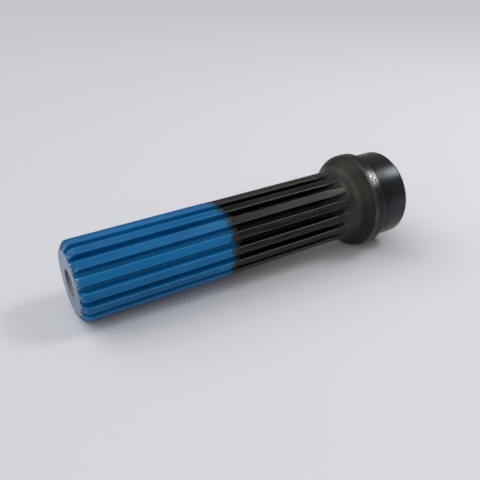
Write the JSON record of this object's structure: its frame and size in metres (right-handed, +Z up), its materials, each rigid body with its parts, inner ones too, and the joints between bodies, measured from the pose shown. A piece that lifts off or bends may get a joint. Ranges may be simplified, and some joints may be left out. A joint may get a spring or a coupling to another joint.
{
  "type": "splined shaft",
  "caption": "Splined slip shaft with straight-sided teeth, a nylon-coated sliding length, a flared collar and a plain pilot for welding into a tube.",
  "frame": {"origin": "centre of the machined end face of the coated end of the spline, on the shaft's axis", "axes": "+X along the shaft's axis from the coated end towards the pilot; +Z up and -Y towards the viewer"},
  "size_m": [0.1812, 0.0516, 0.0516],
  "materials": {
    "steel": "dark oxidised, satin",
    "nylon": "satin"
  },
  "bodies": {
    "root": {"shaft": "steel", "spline_coating": "nylon"}
  },
  "joints": []
}
